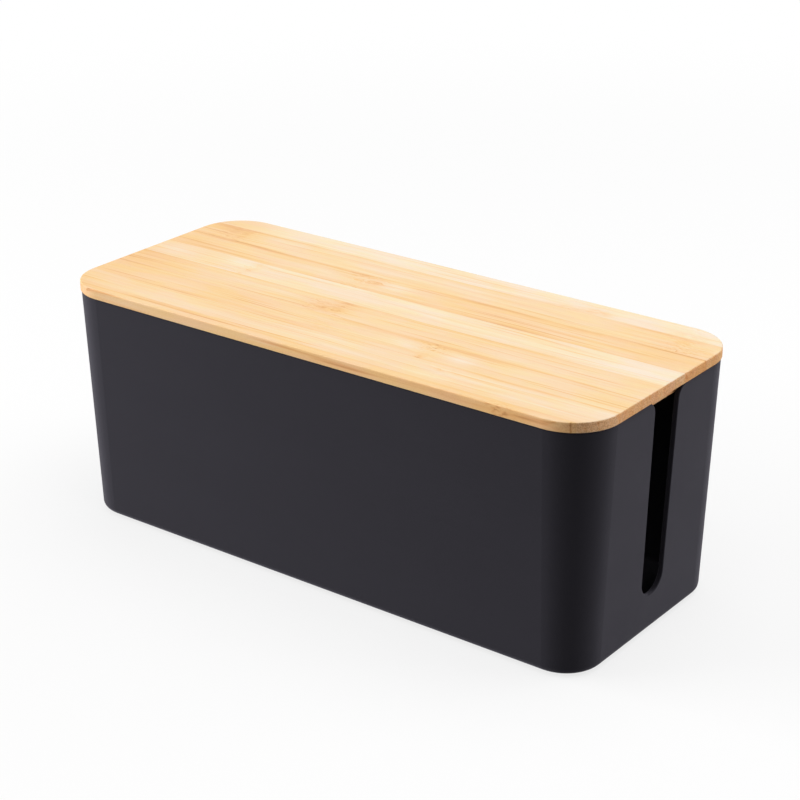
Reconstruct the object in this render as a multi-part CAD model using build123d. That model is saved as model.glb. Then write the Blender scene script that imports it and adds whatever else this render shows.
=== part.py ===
from build123d import *
import os

# Cable management box: a drafted plastic tub with a cable slot in each end, a bamboo lid whose lower
# ply drops inside the rim, and four stick-on feet.
# Millimetres. X runs along the length, -Y is the front, +Z is up.
# The origin is the middle of the footprint, on the surface that the feet stand on.

# Driving dimensions
LENGTH = 320.0            # lid outline along X
WIDTH = 135.0             # lid outline along Y
HEIGHT = 130.0            # from the standing surface to the lid's top face
LID_CORNER = 24.5         # plan radius of the lid's corners
TOP_PLY = 5.1             # thickness of the ply that shows around the edge
LOWER_PLY = 4.5           # thickness of the ply that drops inside the rim
RIM_SETBACK = 0.5         # the tub's rim stays this far inside the lid's outline
BASE_SETBACK = 4.8        # the tub's base outline stays this far inside the lid's outline
WALL = 2.5                # thickness of the walls
FLOOR = 3.0               # thickness of the floor
FOOT_PROUD = 1.0          # how far the feet hold the floor off the surface
LID_CLEARANCE = 0.9       # gap between the lower ply and the walls, all round
STRIP_WIDTH = 19.2        # width of one full bamboo strip
FRONT_STRIP = 4.9         # width left of the front strip once the board is trimmed
LOWER_STAGGER = 9.6       # the lower ply's glue lines are offset this far from the upper ply's

# Cable slots
SLOT_RIM_WIDTH = 20.8     # width at the rim, before the corners are rounded
SLOT_FOOT_WIDTH = 18.5    # width at the foot of the slot
SLOT_BOTTOM = 21.3        # height of the slot's lowest point above the surface
SLOT_RIM_ROUND = 6.5      # radius of the corners at the rim
SLOT_FOOT_ROUND = 9.0     # radius of the corners at the foot

# Edge treatments
BASE_ROUND = 3.8          # outside, where the walls meet the floor
COVE_ROUND = 2.5          # inside, where the walls meet the floor
LIP_ROUND = 0.5           # along the rim and around the slots, both sides
LID_TOP_ROUND = 0.5       # the lid's top edge
LID_LOWER_BEVEL = 0.3     # the lid's lower edge
PLUG_BEVEL = 0.4          # lower edge of the ply that drops inside

# Feet and moulding marks
FOOT_RADIUS = 6.0
FOOT_EDGE_ROUND = 0.5
FOOT_SEAT_GAP = 0.25      # radial gap between a foot and its seat
FOOT_SEAT_DEPTH = 0.8     # the seat's depth in the floor
FOOT_TAPE = 0.3           # adhesive disc between a foot and its seat
TAPE_RADIUS = 5.7
FOOT_INSET_X = 24.0       # from the base outline to a foot's centre, along X
FOOT_INSET_Y = 20.0       # the same along Y
GATE_RADIUS = 5.0         # dimple around the moulding gate, in the middle of the underside
GATE_DEPTH = 0.5
GATE_NIB_RADIUS = 1.2     # what is left of the gate, inside the dimple
GATE_NIB_HEIGHT = 0.4
PIN_MARK_RADIUS = 4.0     # witness marks of the ejector pins, in the floor's upper side
PIN_MARK_DEPTH = 0.2
PIN_MARK_PITCH_X = 88.0
PIN_MARK_PITCH_Y = 72.0

# Worked-out heights and sizes
RIM_Z = HEIGHT - TOP_PLY
UNDERSIDE_Z = FOOT_PROUD
FLOOR_Z = FOOT_PROUD + FLOOR
BODY_HEIGHT = RIM_Z - UNDERSIDE_Z
DRAFT = (BASE_SETBACK - RIM_SETBACK) / BODY_HEIGHT
PLUG_SETBACK = RIM_SETBACK + WALL + LID_CLEARANCE
ENDS = {"left": -1, "right": 1}
SIDES = {"front": -1, "back": 1}


def outline(setback):
    """The lid's rounded rectangle, taken in by a setback."""
    return RectangleRounded(LENGTH - 2 * setback, WIDTH - 2 * setback, LID_CORNER - setback)


def drafted_block(top_setback, top_z, bottom_z):
    """A block whose walls lean inwards towards the bottom at the tub's draft."""
    height = top_z - bottom_z
    bottom = Pos(0, 0, bottom_z) * outline(top_setback + DRAFT * height)
    top = Pos(0, 0, top_z) * outline(top_setback)
    return loft([bottom, top], ruled=True)


def slot_cutter():
    """A prism through both ends: a slot with a rounded foot, flaring out where it meets the rim."""
    reach = SLOT_RIM_WIDTH / 2 + SLOT_RIM_ROUND + 2
    above = RIM_Z + 5
    sides = FilletPolyline(
        (-reach, RIM_Z),
        (-SLOT_RIM_WIDTH / 2, RIM_Z),
        (-SLOT_FOOT_WIDTH / 2, SLOT_BOTTOM),
        (SLOT_FOOT_WIDTH / 2, SLOT_BOTTOM),
        (SLOT_RIM_WIDTH / 2, RIM_Z),
        (reach, RIM_Z),
        radius=[SLOT_RIM_ROUND, SLOT_FOOT_ROUND, SLOT_FOOT_ROUND, SLOT_RIM_ROUND],
    )
    cap = Polyline((reach, RIM_Z), (reach, above), (-reach, above), (-reach, RIM_Z))
    profile = make_face(sides.edges() + cap.edges())
    return extrude(Plane.YZ * profile, LENGTH, both=True)


def disc(radius, low_z, high_z, x=0.0, y=0.0):
    """An upright disc between two heights."""
    return Pos(x, y, low_z) * extrude(Circle(radius), high_z - low_z)


def foot_centres():
    """Name and centre of each foot."""
    x = LENGTH / 2 - BASE_SETBACK - FOOT_INSET_X
    y = WIDTH / 2 - BASE_SETBACK - FOOT_INSET_Y
    for side, sy in SIDES.items():
        for end, sx in ENDS.items():
            yield f"{side}_{end}", sx * x, sy * y


def pin_mark_centres():
    """Centres of the ejector pins' marks, three along each long wall."""
    for column in (-1, 0, 1):
        for row in (-1, 1):
            yield column * PIN_MARK_PITCH_X, row * PIN_MARK_PITCH_Y / 2


def gate_dimple():
    """The round hollow in the underside, less the nib that the gate left in it."""
    top_z = UNDERSIDE_Z + GATE_DEPTH
    return disc(GATE_RADIUS, 0, top_z) - disc(GATE_NIB_RADIUS, top_z - GATE_NIB_HEIGHT, top_z)


def box_body():
    """The moulded tub."""
    outside = drafted_block(RIM_SETBACK, RIM_Z, UNDERSIDE_Z)
    base_edges = outside.edges().group_by(Axis.Z)[0]
    outside = fillet(base_edges, BASE_ROUND)
    cavity = drafted_block(RIM_SETBACK + WALL, RIM_Z, FLOOR_Z)
    cove_edges = cavity.edges().group_by(Axis.Z)[0]
    cavity = fillet(cove_edges, COVE_ROUND)
    body = outside - cavity - slot_cutter()
    body = round_lips(body)
    seat_top = UNDERSIDE_Z + FOOT_SEAT_DEPTH
    for _, x, y in foot_centres():
        body -= disc(FOOT_RADIUS + FOOT_SEAT_GAP, 0, seat_top, x, y)
    body -= gate_dimple()
    for x, y in pin_mark_centres():
        body -= disc(PIN_MARK_RADIUS, FLOOR_Z - PIN_MARK_DEPTH, RIM_Z, x, y)
    return body


def round_lips(body):
    """Rounds the rim and the slots, outside and inside."""
    near_slots_or_rim = [e for e in body.edges() if e.bounding_box().min.Z > SLOT_BOTTOM - 1]
    lips = [e for e in near_slots_or_rim if not crosses_wall(e)]
    return fillet(lips, LIP_ROUND)


def crosses_wall(edge):
    """True for a short edge along X, which crosses an end wall's thickness inside a slot."""
    start, end = edge @ 0, edge @ 1
    along_x = abs(start.Y - end.Y) < 0.01 and abs(start.Z - end.Z) < 0.01
    return along_x and edge.length < 2 * WALL


def lid_ply(setback, low_z, high_z):
    """One whole ply of the lid, before it is divided into strips."""
    return Pos(0, 0, low_z) * extrude(outline(setback), high_z - low_z)


def top_ply():
    """The ply that covers the rim."""
    ply = lid_ply(0, RIM_Z, HEIGHT)
    ply = fillet(ply.edges().group_by(Axis.Z)[-1], LID_TOP_ROUND)
    return chamfer(ply.edges().group_by(Axis.Z)[0], LID_LOWER_BEVEL)


def lower_ply():
    """The ply that drops inside the rim and stops the lid sliding about."""
    ply = lid_ply(PLUG_SETBACK, RIM_Z - LOWER_PLY, RIM_Z)
    return chamfer(ply.edges().group_by(Axis.Z)[0], PLUG_BEVEL)


def strips(ply, first_line):
    """Divides a ply lengthwise at its glue lines, from the front to the back."""
    lines = [-WIDTH / 2 - 1, first_line]
    while lines[-1] + STRIP_WIDTH < WIDTH / 2 - LID_CORNER / 2:
        lines.append(lines[-1] + STRIP_WIDTH)
    lines.append(WIDTH / 2 + 1)
    for front, back in zip(lines, lines[1:]):
        slab = Pos(0, (front + back) / 2, RIM_Z) * Box(2 * LENGTH, back - front, HEIGHT)
        yield ply & slab


def foot(x, y):
    """A soft pad, its lower edge rounded."""
    top_z = UNDERSIDE_Z + FOOT_SEAT_DEPTH - FOOT_TAPE
    pad = disc(FOOT_RADIUS, 0, top_z, x, y)
    return fillet(pad.edges().group_by(Axis.Z)[0], FOOT_EDGE_ROUND)


def foot_tape(x, y):
    """The adhesive disc that holds a foot in its seat."""
    top_z = UNDERSIDE_Z + FOOT_SEAT_DEPTH
    return disc(TAPE_RADIUS, top_z - FOOT_TAPE, top_z, x, y)


def write(shape, name):
    export_step(shape, f"parts/{name}.step")


os.makedirs("parts", exist_ok=True)
write(box_body(), "box_body")
first_top_line = -WIDTH / 2 + FRONT_STRIP
for number, strip in enumerate(strips(top_ply(), first_top_line), 1):
    write(strip, f"lid_top_strip_{number}")
for number, strip in enumerate(strips(lower_ply(), first_top_line + LOWER_STAGGER), 1):
    write(strip, f"lid_lower_strip_{number}")
for place, x, y in foot_centres():
    write(foot(x, y), f"foot_{place}")
    write(foot_tape(x, y), f"foot_tape_{place}")
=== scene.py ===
import math
from collections import namedtuple

import bpy
from mathutils import Matrix, Vector


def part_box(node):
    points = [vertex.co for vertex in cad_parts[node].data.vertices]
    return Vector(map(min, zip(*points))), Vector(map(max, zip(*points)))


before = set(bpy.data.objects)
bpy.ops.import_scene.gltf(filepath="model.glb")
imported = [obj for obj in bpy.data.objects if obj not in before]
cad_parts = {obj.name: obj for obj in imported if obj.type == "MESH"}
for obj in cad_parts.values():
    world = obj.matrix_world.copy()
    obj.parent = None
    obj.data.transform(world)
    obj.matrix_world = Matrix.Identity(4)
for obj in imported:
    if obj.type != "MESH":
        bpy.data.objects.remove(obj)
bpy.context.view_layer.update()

# Cable management box: a charcoal plastic tub with a lift-off bamboo lid. All its shapes are CAD nodes.
# This script gives them their materials and adds the camera, the floor and the light.

# Camera: degrees, metres, and millimetres of lens and sensor
CAMERA_AZIMUTH = 37.1356
CAMERA_ELEVATION = 23.1486
CAMERA_ROLL = -0.1956
CAMERA_DISTANCE = 1.022476
CAMERA_TARGET = Vector((0.0075186, 0.0, 0.0827764))
CAMERA_LENS = 91.8331
CAMERA_SENSOR = 36.0

# Floor, in metres and shares of white
FLOOR_SIZE = 5.0
FLOOR_BOUNCE = 0.24          # its grey in the light that it throws back on the object
FLOOR_SEEN = 0.94            # its grey to the camera and in reflections, which shows the shadow
FLOOR_WHITE_SHARE = 0.76     # share of plain white in what the camera and reflections see of it
FLOOR_FADE = (0.50, 1.20)    # distances from the middle where that share starts to rise and where it is 1

# Fill light from the world, as levels of grey
WORLD_LEVEL = 0.36
WORLD_UNLIT_LEVEL = 0.22     # on the studio's unlit side
UNLIT_AZIMUTH = 37.0         # where that side is
UNLIT_FADE = (-0.2, 0.8)     # cosines of the angle to it between which the fill goes over to its level

# Softboxes: name, azimuth and elevation, distance, width and height in metres, and watts
SOFTBOXES = [
    ("overhead", 120.0, 80.0, 1.6, 1.6, 1.2, 13.4),
    ("left_softbox", -60.0, 14.0, 2.6, 2.1, 1.2, 73.0),
    ("right_softbox", 130.0, 16.0, 1.6, 1.2, 0.8, 9.5),
]
SOFTBOX_AIM = Vector((0.0, 0.0, 0.08))

# Plastic, rubber and adhesive: linear colours, and the depth of the surface's relief in metres
TUB_COLOUR = (0.0125, 0.0117, 0.0155)
TUB_COLOUR_PALER = tuple(c * 1.22 for c in TUB_COLOUR)
TUB_RELIEF = 0.00004
RUBBER_COLOUR = (0.028, 0.028, 0.030)
RUBBER_COLOUR_DUSTY = (0.060, 0.058, 0.055)
RUBBER_RELIEF = 0.00006
ADHESIVE_COLOUR = (0.62, 0.58, 0.46)
ADHESIVE_COLOUR_PALER = (0.74, 0.71, 0.60)
ADHESIVE_RELIEF = 0.00005

# Bamboo: linear colours from pale to brown, as a strip's factor goes from 0 to 2
BAMBOO_RAMP = [
    (0.00, (0.924, 0.786, 0.582)),
    (0.25, (0.920, 0.688, 0.414)),
    (0.50, (0.910, 0.593, 0.282)),
    (0.75, (0.817, 0.448, 0.182)),
    (1.00, (0.577, 0.276, 0.098)),
]
FACTOR_TO_RAMP = 0.5

# Bamboo: tints that multiply its colour
YELLOWER, PINKER = (1.00, 1.00, 0.93), (1.00, 0.99, 1.07)   # drift of hue within a strip
BUNDLE_SHADE = (0.68, 0.52, 0.42)    # fibre bundles and pores
SIDE_TINT = (1.03, 0.99, 0.96)       # where a strip is cut along
END_TINT = (1.07, 0.87, 0.72)        # where it is cut across
PATCH_TINT = (0.96, 0.88, 0.85)      # in patches of the cut across

# Bamboo: noises. Each has its cycles per millimetre along, across and through a strip, its detail and
# roughness, and its easing: the ends of the noise's range, and the values there if they aren't 0 and 1
GRAIN = {
    "drift": ((0.008, 0.02, 0.02), 1.0, 0.5, None),
    "swirl": ((0.16, 0.30, 0.30), 2.0, 0.5, None),
    "cloud": ((0.013, 0.055, 0.05), 2.0, 0.5, (0.3, 0.7, -0.12, 0.12)),
    "streak": ((0.0075, 0.30, 0.16), 2.5, 0.55, (0.3, 0.7, -0.11, 0.11)),
    "thin_streak": ((0.012, 0.90, 0.5), 2.0, 0.6, (0.3, 0.7, -0.10, 0.10)),
    "dark_line": ((0.011, 0.62, 0.4), 1.0, 0.5, (0.57, 0.74, 0.0, 0.65)),
    "fibre": ((0.05, 3.6, 3.6), 2.0, 0.6, None),
    "pore": ((0.25, 5.5, 5.5), 1.0, 0.5, (0.60, 0.74, 0.0, 0.16)),
    "glue": ((0.017, 0.0, 0.0), 2.0, 0.6, None),
    "blush": ((0.035, 0.10, 0.10), 2.0, 0.6, (0.36, 0.64)),
    "patch": ((0.09, 0.09, 0.03), 2.0, 0.6, (0.42, 0.60)),
    "bundle_end": ((1.5, 1.5, 1.5), 1.0, 0.5, (0.46, 0.60)),
    "blot": ((0.16, 0.42, 0.3), 3.0, 0.6, (0.30, 0.62, 0.15, 1.0)),
    "dashes": ((0.34, 1.5, 1.0), 1.5, 0.5, (0.50, 0.68)),
    "seam": ((0.035, 0.30, 0.0), 2.0, 0.6, (0.34, 0.60, 0.45, 1.0)),
}
BUNDLE_CELLS = (0.018, 1.9, 1.9)     # fibre bundles per millimetre along, across and through a strip
BUNDLE_EDGE = (0.50, 0.22)           # distances from a bundle's middle where it starts and where it is full

# Bamboo: the figure, in millimetres
FIBRE_DRIFT = 5.0                    # how far the fibres wander across a strip
KNUCKLE_SWIRL = 5.0                  # how far they swirl at a knuckle
KNUCKLE_REACH = 7.0                  # how far along the strip that goes on
HAIRLINE_EDGE = (0.30, 0.06)         # distances from a glue line where its hairline starts and is full
HAIRLINE_GAPS = (0.25, 0.65, 0.15, 0.70)   # easing of the noise "glue" that makes it come and go
STAIN_GAPS = (0.38, 0.62)            # the same for the stain
STAIN_FALL = 0.95                    # how fast the stain fades, per millimetre

# Bamboo: what adds to a strip's factor
LID_LENGTH = 320.0
FIBRE_CONTRAST = 0.24
HAIRLINE_TONE = 0.28
LEFT_END_TONE = (-155.0, -95.0, 0.18, 0.0)   # x of the lid's left end and of where it stops being browner
SIDE_TONE = (-30.0, 150.0, 0.10, 0.34)       # x between which the cut along the strips gets browner
END_TONE = 0.22                              # the cut across
END_TONE_WANTED = 0.50                       # tone that the cut across tends to
END_TONE_PULL = 0.75                         # and how strongly

# Bamboo: shares of BUNDLE_SHADE that the bundles and their ends show, and what they gain on cut faces
BUNDLE_SHARE, BUNDLE_SHARE_ACROSS = 0.06, 0.22
BUNDLE_END_SHARE_ALONG, BUNDLE_END_SHARE_ACROSS = 0.10, 0.54

# Bamboo: gloss and relief
BAMBOO_SPECULAR = 0.32
BAMBOO_ROUGHNESS = (0.3, 0.7, 0.48, 0.58)    # easing of the noise "fibre"
END_ROUGHER, BUNDLE_ROUGHER = 0.12, 0.05
BUNDLE_HEIGHT, FIBRE_HEIGHT, HAIRLINE_HEIGHT = 0.35, 0.45, -0.3
BAMBOO_RELIEF = 0.00003              # metres, for a height of 1

# Bamboo: how far a face must look along X or Y to count as cut, from not at all to wholly
CUT_ACROSS = (0.55, 0.95)            # for the colour and gloss of the whole face
CUT_INTO = (0.25, 0.75)              # for the ends of bundles and patches, which show sooner
CUT_ALONG = (0.45, 0.90)

# One mark on a strip, in millimetres. It adds its amount to the factor
Mark = namedtuple("Mark", "x y half_length half_width amount kind")

# Bamboo strips of the upper ply from the front to the back: tone, tilt, stains at the two edges, and marks
TOP_STRIPS = [
    (0.80, 0.00, (0.0, 0.15), [
        (112.0, -66.5, 7.0, 2.5, 0.55, "dashes"),
        (148.2, -64.1, 0.40, 0.7, 0.90, "soft"),
    ]),
    (0.54, -0.16, (0.15, 0.20), [
        (-20.0, -56.0, 22.0, 5.0, -0.10, "soft"),
        (64.0, -57.5, 12.0, 3.5, -0.20, "soft"),
        (70.0, -48.0, 9.0, 3.0, 0.25, "dashes"),
    ]),
    (0.70, -0.14, (0.20, 0.20), [
        (49.0, -28.8, 7.0, 5.0, 1.15, "dashes"),
        (50.0, -41.3, 2.4, 1.8, 0.75, "blot"),
        (35.0, -32.0, 11.0, 4.5, -0.36, "soft"),
        (69.0, -34.5, 9.0, 5.5, -0.50, "soft"),
        (30.0, -36.0, 35.0, 10.0, -0.16, "soft"),
        (-12.0, -38.5, 9.0, 4.0, 0.22, "blot"),
    ]),
    (0.66, -0.30, (0.20, 0.15), [
        (-28.5, -18.6, 9.5, 5.0, 0.36, "blot"),
        (-31.0, -17.0, 6.0, 3.5, 0.36, "dashes"),
        (-18.0, -15.0, 6.5, 6.5, 0.36, "blot"),
        (-20.5, -6.4, 7.5, 1.6, 0.75, "seam"),
        (-25.0, -14.0, 17.0, 9.0, 0.22, "soft"),
        (-66.0, -13.0, 26.0, 7.0, -0.14, "soft"),
    ]),
    (0.20, -0.12, (0.10, 0.10), [
        (-103.0, 8.0, 9.0, 5.5, -0.34, "soft"),
        (-146.0, 3.5, 11.0, 5.0, -0.24, "soft"),
        (-92.5, 5.0, 2.6, 8.0, 0.32, "blot"),
        (-93.0, -3.8, 6.0, 1.4, 0.40, "dashes"),
        (-140.0, 4.0, 34.0, 18.0, 0.18, "soft"),
    ]),
    (0.72, 0.08, (0.20, 0.20), [
        (-38.5, 31.5, 7.5, 1.7, 0.50, "blot"),
        (-26.5, 25.5, 3.4, 3.2, 0.45, "blot"),
        (-32.0, 20.5, 7.0, 4.0, 0.40, "dashes"),
        (-62.0, 23.5, 20.0, 6.0, -0.36, "soft"),
        (-14.0, 27.0, 10.0, 8.0, -0.42, "soft"),
        (-145.0, 24.0, 25.0, 14.0, 0.16, "soft"),
    ]),
    (0.56, 0.04, (0.20, 0.10), [
        (-138.0, 49.0, 14.0, 12.0, 0.34, "blot"),
        (-131.0, 42.0, 2.5, 9.0, 0.25, "blot"),
        (-141.0, 47.0, 22.0, 16.0, 0.34, "soft"),
        (145.0, 41.0, 12.0, 9.0, 0.55, "dashes"),
        (142.0, 48.0, 13.0, 6.0, 0.45, "blot"),
        (-60.0, 42.0, 45.0, 10.0, -0.12, "soft"),
    ]),
    (0.04, -0.02, (0.10, 0.0), [
        (86.0, 57.5, 7.5, 4.2, 0.75, "blot"),
        (72.0, 53.5, 15.0, 4.0, 0.36, "blot"),
        (139.0, 55.0, 14.0, 4.5, 0.50, "blot"),
        (-146.0, 60.0, 28.0, 13.0, 0.66, "soft"),
    ]),
]

# Glue stain along the upper ply's seams: x, y, half length, half width, amount
SEAM_STAINS = [
    (-94.0, 53.2, 34.0, 1.6, 0.50),
    (48.0, 53.4, 26.0, 1.4, 0.40),
    (122.0, 51.5, 18.0, 1.2, 0.45),
    (-112.0, 32.8, 44.0, 1.9, 0.45),
    (80.0, 32.7, 84.0, 1.9, 0.52),
    (24.0, 27.5, 22.0, 1.0, 0.30),
    (96.0, 22.6, 44.0, 1.2, 0.50),
    (54.0, 24.6, 26.0, 1.0, 0.20),
    (-120.0, 16.4, 40.0, 1.7, 0.50),
    (74.0, 15.0, 76.0, 2.0, 0.56),
    (104.0, -5.0, 56.0, 1.6, 0.52),
    (68.0, -25.2, 52.0, 1.8, 0.58),
    (-68.0, -30.0, 26.0, 0.9, 0.38),
    (-97.0, -42.8, 30.0, 1.6, 0.50),
    (-18.0, -42.6, 20.0, 1.3, 0.35),
    (116.0, -43.0, 26.0, 1.4, 0.50),
    (-104.0, -61.8, 40.0, 1.4, 0.50),
    (-10.0, -61.8, 50.0, 1.2, 0.30),
]
SEAM_REACH = 3.0                     # a strip takes the stains that are at most this far outside it

# Bamboo strips of the lower ply from the front to the back: tone, and the x of a knuckle
LOWER_STRIPS = [
    (0.45, -61.0),
    (0.30, 88.0),
    (0.62, -118.0),
    (0.38, 24.0),
    (0.66, 131.0),
    (0.33, -20.0),
    (0.50, 67.0),
]
LOWER_STAINS = (0.3, 0.3)
LOWER_KNUCKLE = [                    # marks set out from the knuckle's x and the strip's middle
    (0.0, 4.0, 4.0, 3.5, 0.70, "dashes"),
    (2.0, -3.0, 5.0, 3.0, 0.60, "blot"),
    (-9.0, 0.0, 9.0, 6.0, -0.20, "soft"),
]
LOWER_SEEDS = 20                     # the lower strips' seeds follow this number


def direction(azimuth, elevation):
    """Unit vector from the object towards a place at an azimuth and elevation, in degrees."""
    a, e = math.radians(azimuth), math.radians(elevation)
    return Vector((math.sin(a) * math.cos(e), -math.cos(a) * math.cos(e), math.sin(e)))


def add_camera():
    back = direction(CAMERA_AZIMUTH, CAMERA_ELEVATION)
    a = math.radians(CAMERA_AZIMUTH)
    right = Vector((math.cos(a), math.sin(a), 0.0))
    up = back.cross(right)
    roll = math.radians(CAMERA_ROLL)
    rolled_right = right * math.cos(roll) + up * math.sin(roll)
    rolled_up = up * math.cos(roll) - right * math.sin(roll)
    data = bpy.data.cameras.new("camera")
    data.lens = CAMERA_LENS
    data.sensor_width = CAMERA_SENSOR
    camera = bpy.data.objects.new("camera", data)
    place = CAMERA_TARGET + back * CAMERA_DISTANCE
    turn = Matrix((rolled_right, rolled_up, back)).transposed().to_4x4()
    camera.matrix_world = Matrix.Translation(place) @ turn
    bpy.context.scene.collection.objects.link(camera)
    bpy.context.scene.camera = camera


class Graph:
    """Short calls for building a node tree. Values may be sockets, numbers or tuples."""

    def __init__(self, tree):
        self.tree = tree
        tree.nodes.clear()

    def add(self, kind, **settings):
        node = self.tree.nodes.new(kind)
        for name, value in settings.items():
            setattr(node, name, value)
        return node

    def put(self, socket, value):
        if isinstance(value, bpy.types.NodeSocket):
            self.tree.links.new(value, socket)
        elif isinstance(value, tuple) and len(value) == 3 and socket.type == "RGBA":
            socket.default_value = (*value, 1.0)
        else:
            socket.default_value = value

    def math(self, operation, a, b=None, c=None):
        node = self.add("ShaderNodeMath", operation=operation)
        for socket, value in zip(node.inputs, (a, b, c)):
            if value is not None:
                self.put(socket, value)
        return node.outputs[0]

    def total(self, *values):
        result = values[0]
        for value in values[1:]:
            result = self.math("ADD", result, value)
        return result

    def product(self, *values):
        result = values[0]
        for value in values[1:]:
            result = self.math("MULTIPLY", result, value)
        return result

    def smooth(self, value, low, high, to_low=0.0, to_high=1.0):
        """Eases from to_low to to_high as the value goes from low to high."""
        node = self.add("ShaderNodeMapRange", interpolation_type="SMOOTHSTEP")
        for socket, number in zip(node.inputs, (value, low, high, to_low, to_high)):
            self.put(socket, number)
        return node.outputs[0]

    def coordinates(self, name):
        return self.add("ShaderNodeTexCoord").outputs[name]

    def millimetres(self):
        """Position on the object in millimetres."""
        return self.scaled(self.coordinates("Object"), (1000.0, 1000.0, 1000.0))

    def vector(self, x, y, z):
        node = self.add("ShaderNodeCombineXYZ")
        for socket, value in zip(node.inputs, (x, y, z)):
            self.put(socket, value)
        return node.outputs[0]

    def split(self, vector):
        node = self.add("ShaderNodeSeparateXYZ")
        self.put(node.inputs[0], vector)
        return node.outputs

    def scaled(self, vector, factors, offset=(0.0, 0.0, 0.0)):
        node = self.add("ShaderNodeVectorMath", operation="MULTIPLY_ADD")
        self.put(node.inputs[0], vector)
        self.put(node.inputs[1], factors)
        self.put(node.inputs[2], offset)
        return node.outputs[0]

    def noise(self, vector, detail, roughness, scale=1.0):
        node = self.add("ShaderNodeTexNoise")
        self.put(node.inputs["Vector"], vector)
        node.inputs["Scale"].default_value = scale
        node.inputs["Detail"].default_value = detail
        node.inputs["Roughness"].default_value = roughness
        return node.outputs[0]

    def cells(self, vector):
        """Outputs of a pattern of cells: among them the Distance to a cell's middle, and a random Color."""
        node = self.add("ShaderNodeTexVoronoi")
        self.put(node.inputs["Vector"], vector)
        node.inputs["Scale"].default_value = 1.0
        return node.outputs

    def mix(self, factor, a, b, blend="MIX"):
        node = self.add("ShaderNodeMix", data_type="RGBA", blend_type=blend)
        for name, value in (("Factor_Float", factor), ("A_Color", a), ("B_Color", b)):
            socket = next(s for s in node.inputs if s.identifier == name)
            self.put(socket, value)
        return next(s for s in node.outputs if s.identifier == "Result_Color")

    def ramp(self, factor, stops):
        node = self.add("ShaderNodeValToRGB")
        elements = node.color_ramp.elements
        while len(elements) < len(stops):
            elements.new(0.5)
        for element, (position, colour) in zip(elements, stops):
            element.position = position
            element.color = (*colour, 1.0)
        self.put(node.inputs[0], factor)
        return node.outputs[0]

    def bump(self, height, distance):
        """Normal from a height of 0 to 1, worth a distance in metres."""
        node = self.add("ShaderNodeBump")
        node.inputs["Strength"].default_value = 1.0
        node.inputs["Distance"].default_value = distance
        self.put(node.inputs["Height"], height)
        return node.outputs[0]

    def surface(self, shader, kind="ShaderNodeOutputMaterial"):
        """Makes a shader what the whole tree gives."""
        self.put(self.add(kind).inputs["Surface"], shader)

    def principled(self, **values):
        shader = self.add("ShaderNodeBsdfPrincipled")
        for name, value in values.items():
            self.put(shader.inputs[name.replace("_", " ")], value)
        self.surface(shader.outputs[0])


def material(name):
    made = bpy.data.materials.new(name)
    made.use_nodes = True
    return made, Graph(made.node_tree)


def grain(g, name, position, offset):
    """One of the noises in GRAIN, with its easing."""
    scale, detail, roughness, easing = GRAIN[name]
    value = g.noise(g.scaled(position, scale, offset), detail, roughness)
    return g.smooth(value, *easing) if easing else value


def bell(g, value, centre, width):
    """A soft bump of height 1 around a centre."""
    d = g.math("DIVIDE", g.math("SUBTRACT", value, centre), width)
    return g.math("EXPONENT", g.product(d, d, -1.0))


def mark_tone(g, p, mark, own):
    """What one mark adds to the bamboo's factor.

    A soft mark is even, a blot is broken up by noise, dashes are short dark ends of fibres, and a seam
    is glue stain that comes and goes along a glue line. own is an offset of the mark's own, for its noise.
    A seam goes by its place instead, because the strips on both its sides show it.
    """
    x, y, _ = g.split(p)
    area = g.product(
        bell(g, x, mark.x, mark.half_length),
        bell(g, y, mark.y, mark.half_width),
        mark.amount,
    )
    if mark.kind == "soft":
        return area
    offset = (mark.x, mark.y, 0.0) if mark.kind == "seam" else own
    return g.product(area, grain(g, mark.kind, p, offset))


def along_fibres(g, p, shift, marks):
    """Position within the grain. Fibres drift a little along the strip and swirl around the knuckles."""
    x, y, z = g.split(p)
    drift = grain(g, "drift", p, shift)
    bent_y = g.total(y, g.math("MULTIPLY_ADD", drift, FIBRE_DRIFT, -FIBRE_DRIFT / 2))
    knuckles = [bell(g, x, mark.x, KNUCKLE_REACH) for mark in marks if mark.kind in ("blot", "dashes")]
    if knuckles:
        swirl = g.math("SUBTRACT", grain(g, "swirl", p, shift), 0.5)
        bent_y = g.total(bent_y, g.product(swirl, g.total(*knuckles), KNUCKLE_SWIRL))
    return g.vector(x, bent_y, z)


def glue_lines(g, p, glued_edges):
    """A hairline and a stain at each glue line, which come and go along it."""
    _, y, _ = g.split(p)
    hairlines, stains = [], []
    for edge, strength in glued_edges:
        away = g.math("ABSOLUTE", g.math("SUBTRACT", y, edge))
        glue = grain(g, "glue", p, (0.0, edge * 7.1, 0.0))      # each line has a noise of its own
        hairlines.append(g.product(g.smooth(away, *HAIRLINE_EDGE), g.smooth(glue, *HAIRLINE_GAPS)))
        fading = g.math("EXPONENT", g.product(away, -STAIN_FALL))
        stains.append(g.product(fading, g.smooth(glue, *STAIN_GAPS), strength))
    return g.total(*hairlines), g.total(*stains)


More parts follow.
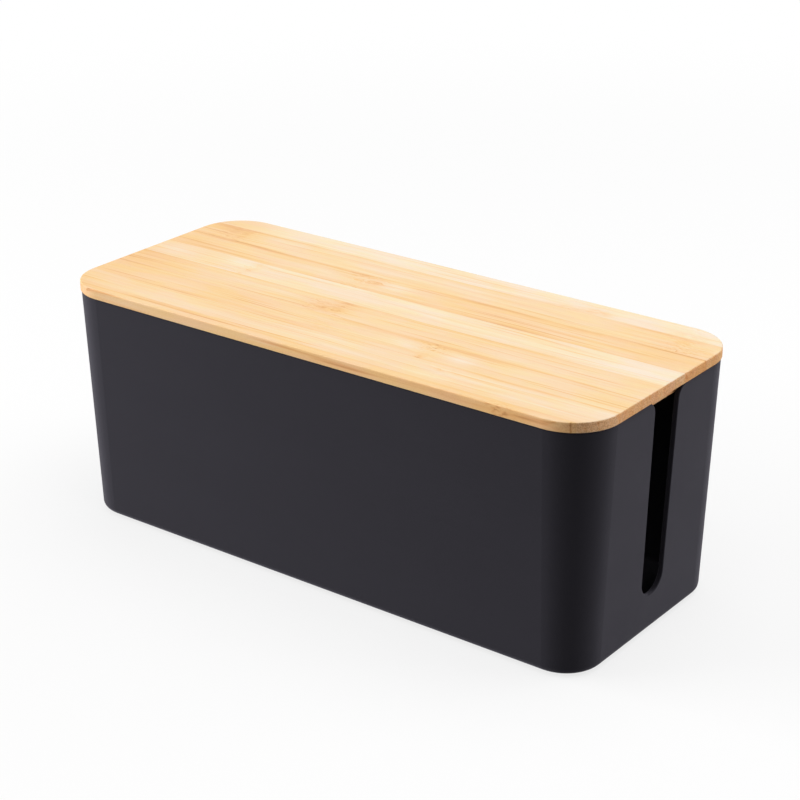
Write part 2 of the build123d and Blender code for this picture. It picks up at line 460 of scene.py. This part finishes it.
def bamboo(name, glued_edges, seed, tone, tilt, marks):
    """One strip of flat-laid bamboo.

    The fibre bundles are long thin cells, so they run as lines along the top and edges and end as dots.
    glued_edges has the y of each glue line and the strength of its stain. tone goes from 0, pale, to 1,
    orange, and tilt adds to it from left to right.
    """
    made, g = material(name)
    p = g.millimetres()
    x, _, _ = g.split(p)
    shift = (seed * 37.7, seed * 11.3, seed * 5.9)      # sets the strips' noises apart
    q = along_fibres(g, p, shift, marks)

    # Along the strip, from coarse to fine, then its glue lines and marks
    fibre = grain(g, "fibre", q, shift)
    hairline, stain = glue_lines(g, p, glued_edges)
    factor = g.total(
        g.math("MULTIPLY_ADD", x, tilt / LID_LENGTH, tone),
        g.smooth(x, *LEFT_END_TONE),
        grain(g, "cloud", q, shift),
        grain(g, "streak", q, shift),
        grain(g, "thin_streak", q, shift),
        grain(g, "dark_line", q, (seed * 3.3, seed * 17.9, 4.0)),
        g.math("MULTIPLY_ADD", fibre, FIBRE_CONTRAST, -FIBRE_CONTRAST / 2),
        stain,
        g.product(hairline, HAIRLINE_TONE),
    )
    for number, mark in enumerate(marks):
        own = (seed * 9.7 + number * 4.3, seed * 2.9, number * 7.7)
        factor = g.total(factor, mark_tone(g, p, mark, own))

    # Cut faces are browner: along the front and back, and most of all across the ends
    nx, ny, _ = g.split(g.coordinates("Normal"))
    towards_end, towards_side = g.math("ABSOLUTE", nx), g.math("ABSOLUTE", ny)
    end_grain = g.smooth(towards_end, *CUT_ACROSS)
    crosscut = g.smooth(towards_end, *CUT_INTO)
    side_grain = g.smooth(towards_side, *CUT_ALONG)
    factor = g.total(
        factor,
        g.product(side_grain, g.smooth(x, *SIDE_TONE)),
        g.product(end_grain, END_TONE + END_TONE_PULL * (END_TONE_WANTED - tone)),
    )

    # Colour, then each tint and the share of it that shows
    bundle = g.smooth(g.cells(g.scaled(q, BUNDLE_CELLS, shift))["Distance"], *BUNDLE_EDGE)
    blush = grain(g, "blush", p, (seed * 3.1, 2.0, 9.0))
    bundle_share = g.math("MULTIPLY_ADD", crosscut, BUNDLE_SHARE_ACROSS, BUNDLE_SHARE)
    end_share_along = g.product(side_grain, BUNDLE_END_SHARE_ALONG)
    bundle_end_share = g.math("MULTIPLY_ADD", crosscut, BUNDLE_END_SHARE_ACROSS, end_share_along)
    colour = g.ramp(g.product(factor, FACTOR_TO_RAMP), BAMBOO_RAMP)
    for share, tint in (
        (1.0, g.mix(blush, YELLOWER, PINKER)),
        (side_grain, SIDE_TINT),
        (end_grain, END_TINT),
        (g.product(grain(g, "patch", p, shift), crosscut), PATCH_TINT),
        (g.product(bundle, bundle_share), BUNDLE_SHADE),
        (g.product(grain(g, "bundle_end", p, shift), bundle_end_share), BUNDLE_SHADE),
        (grain(g, "pore", q, shift), BUNDLE_SHADE),
    ):
        colour = g.mix(share, colour, tint, "MULTIPLY")

    roughness = g.total(
        g.smooth(fibre, *BAMBOO_ROUGHNESS),
        g.product(end_grain, END_ROUGHER),
        g.product(bundle, BUNDLE_ROUGHER),
    )
    height = g.total(
        g.product(bundle, BUNDLE_HEIGHT),
        g.product(fibre, FIBRE_HEIGHT),
        g.product(hairline, HAIRLINE_HEIGHT),
    )
    g.principled(
        Base_Color=colour,
        Roughness=roughness,
        Specular_IOR_Level=BAMBOO_SPECULAR,
        Normal=g.bump(height, BAMBOO_RELIEF),
    )
    return made


def moulded_plastic(name):
    """Charcoal polypropylene with a fine spark-eroded grain."""
    made, g = material(name)
    p = g.millimetres()
    sparks = g.noise(p, detail=3.0, roughness=0.6, scale=2.6)
    flecks = g.split(g.cells(g.scaled(p, (1.9, 1.9, 1.9)))["Color"])[0]
    flow = g.noise(g.scaled(p, (0.012, 0.012, 0.03)), detail=3.0, roughness=0.5)
    handling = g.noise(p, detail=4.0, roughness=0.65, scale=0.06)
    paler = g.smooth(g.total(g.product(sparks, 0.5), g.product(flow, 0.5)), 0.3, 0.7)
    height = g.total(g.product(sparks, 0.7), g.product(flecks, 0.3))
    g.principled(
        Base_Color=g.mix(paler, TUB_COLOUR, TUB_COLOUR_PALER),
        Roughness=g.total(g.smooth(handling, 0.35, 0.68, 0.50, 0.56), g.product(sparks, 0.05)),
        Specular_IOR_Level=0.03,
        Sheen_Weight=0.255,
        Sheen_Roughness=0.55,
        Sheen_Tint=(0.88, 0.84, 1.0),
        Normal=g.bump(height, TUB_RELIEF),
    )
    return made


def foot_rubber(name):
    made, g = material(name)
    p = g.millimetres()
    pitting = g.noise(p, detail=4.0, roughness=0.7, scale=3.5)
    dust = g.smooth(g.noise(p, detail=3.0, roughness=0.6, scale=0.35), 0.45, 0.75)
    g.principled(
        Base_Color=g.mix(dust, RUBBER_COLOUR, RUBBER_COLOUR_DUSTY),
        Roughness=g.smooth(pitting, 0.3, 0.7, 0.72, 0.92),
        Specular_IOR_Level=0.35,
        Normal=g.bump(pitting, RUBBER_RELIEF),
    )
    return made


def foot_adhesive(name):
    made, g = material(name)
    foam = g.noise(g.millimetres(), detail=4.0, roughness=0.65, scale=4.0)
    g.principled(
        Base_Color=g.mix(g.smooth(foam, 0.3, 0.7), ADHESIVE_COLOUR, ADHESIVE_COLOUR_PALER),
        Roughness=g.smooth(foam, 0.3, 0.7, 0.45, 0.65),
        Normal=g.bump(foam, ADHESIVE_RELIEF),
    )
    return made


def give(node, made):
    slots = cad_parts[node].data.materials
    slots.clear()
    slots.append(made)


def strip_edges(node):
    """The y of a strip's front and back, in millimetres."""
    low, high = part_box(node)
    return low.y * 1000, high.y * 1000


def dress_strip(node, number, count, seed, tone, tilt, stains, marks):
    """Gives a strip its bamboo. The first strip's front and the last one's back aren't glued to another."""
    front, back = strip_edges(node)
    glued_edges = []
    if number > 1:
        glued_edges.append((front, stains[0]))
    if number < count:
        glued_edges.append((back, stains[1]))
    give(node, bamboo(node + "_bamboo", glued_edges, seed, tone, tilt, [Mark(*mark) for mark in marks]))


def dress_lid():
    for number, (tone, tilt, stains, marks) in enumerate(TOP_STRIPS, 1):
        node = f"lid_top_strip_{number}"
        front, back = strip_edges(node)
        for seam in SEAM_STAINS:
            if front - SEAM_REACH < seam[1] < back + SEAM_REACH:
                marks = [*marks, (*seam, "seam")]
        dress_strip(node, number, len(TOP_STRIPS), number, tone, tilt, stains, marks)
    for number, (tone, knuckle) in enumerate(LOWER_STRIPS, 1):
        node = f"lid_lower_strip_{number}"
        middle = sum(strip_edges(node)) / 2
        marks = [(knuckle + x, middle + y, *rest) for x, y, *rest in LOWER_KNUCKLE]
        dress_strip(node, number, len(LOWER_STRIPS), LOWER_SEEDS + number, tone, 0.0, LOWER_STAINS, marks)


def dress_tub():
    give("box_body", moulded_plastic("tub_plastic_grained"))
    rubber, adhesive = foot_rubber("foot_rubber_grained"), foot_adhesive("foot_adhesive_foam")
    for side in ("front", "back"):
        for end in ("left", "right"):
            give(f"foot_{side}_{end}", rubber)
            give(f"foot_tape_{side}_{end}", adhesive)


def shown_to_lens(g):
    """1 for rays from the camera and for reflections and refractions, 0 for diffuse light."""
    path = g.add("ShaderNodeLightPath")
    seen = g.math("MAXIMUM", path.outputs["Is Camera Ray"], path.outputs["Is Glossy Ray"])
    return g.math("MAXIMUM", seen, path.outputs["Is Transmission Ray"])


def add_floor():
    mesh = bpy.data.meshes.new("floor")
    h = FLOOR_SIZE / 2
    mesh.from_pydata([(-h, -h, 0), (h, -h, 0), (h, h, 0), (-h, h, 0)], [], [(0, 1, 2, 3)])
    floor = bpy.data.objects.new("floor", mesh)
    bpy.context.scene.collection.objects.link(floor)
    made, g = material("floor_paper")
    seen = shown_to_lens(g)
    grey = g.math("MULTIPLY_ADD", seen, FLOOR_SEEN - FLOOR_BOUNCE, FLOOR_BOUNCE)
    diffuse = g.add("ShaderNodeBsdfDiffuse")
    g.put(diffuse.inputs["Color"], grey)
    white = g.add("ShaderNodeEmission")
    g.put(white.inputs["Color"], (1.0, 1.0, 1.0))
    g.put(white.inputs["Strength"], 1.0)
    x, y, _ = g.split(g.coordinates("Object"))
    away = g.math("SQRT", g.total(g.product(x, x), g.product(y, y)))
    white_share = g.smooth(away, *FLOOR_FADE, FLOOR_WHITE_SHARE, 1.0)
    blend = g.add("ShaderNodeMixShader")
    g.put(blend.inputs[0], g.product(seen, white_share))
    g.put(blend.inputs[1], diffuse.outputs[0])
    g.put(blend.inputs[2], white.outputs[0])
    g.surface(blend.outputs[0])
    floor.data.materials.append(made)


def add_world():
    """An even grey fill that fades to the studio's unlit side, and is plain white where it is seen."""
    world = bpy.data.worlds.new("studio")
    bpy.context.scene.world = world
    world.use_nodes = True
    g = Graph(world.node_tree)
    dx, dy, _ = g.split(g.coordinates("Generated"))
    unlit = direction(UNLIT_AZIMUTH, 0.0)
    towards = g.total(g.product(dx, unlit.x), g.product(dy, unlit.y))
    fill = g.smooth(towards, *UNLIT_FADE, WORLD_LEVEL, WORLD_UNLIT_LEVEL)
    seen = shown_to_lens(g)
    level = g.total(g.product(fill, g.math("SUBTRACT", 1.0, seen)), seen)
    background = g.add("ShaderNodeBackground")
    g.put(background.inputs["Color"], (1.0, 1.0, 1.0))
    g.put(background.inputs["Strength"], level)
    g.surface(background.outputs[0], "ShaderNodeOutputWorld")


def add_softbox(name, azimuth, elevation, distance, width, height, watts):
    data = bpy.data.lights.new(name, "AREA")
    data.shape = "RECTANGLE"
    data.size = width
    data.size_y = height
    data.energy = watts
    lamp = bpy.data.objects.new(name, data)
    towards = direction(azimuth, elevation)
    turn = towards.to_track_quat("Z", "Y").to_matrix().to_4x4()
    lamp.matrix_world = Matrix.Translation(SOFTBOX_AIM + towards * distance) @ turn
    lamp.visible_camera = False
    bpy.context.scene.collection.objects.link(lamp)


add_camera()
dress_lid()
dress_tub()
add_floor()
add_world()
for softbox in SOFTBOXES:
    add_softbox(*softbox)

bpy.context.scene.view_settings.view_transform = "Standard"
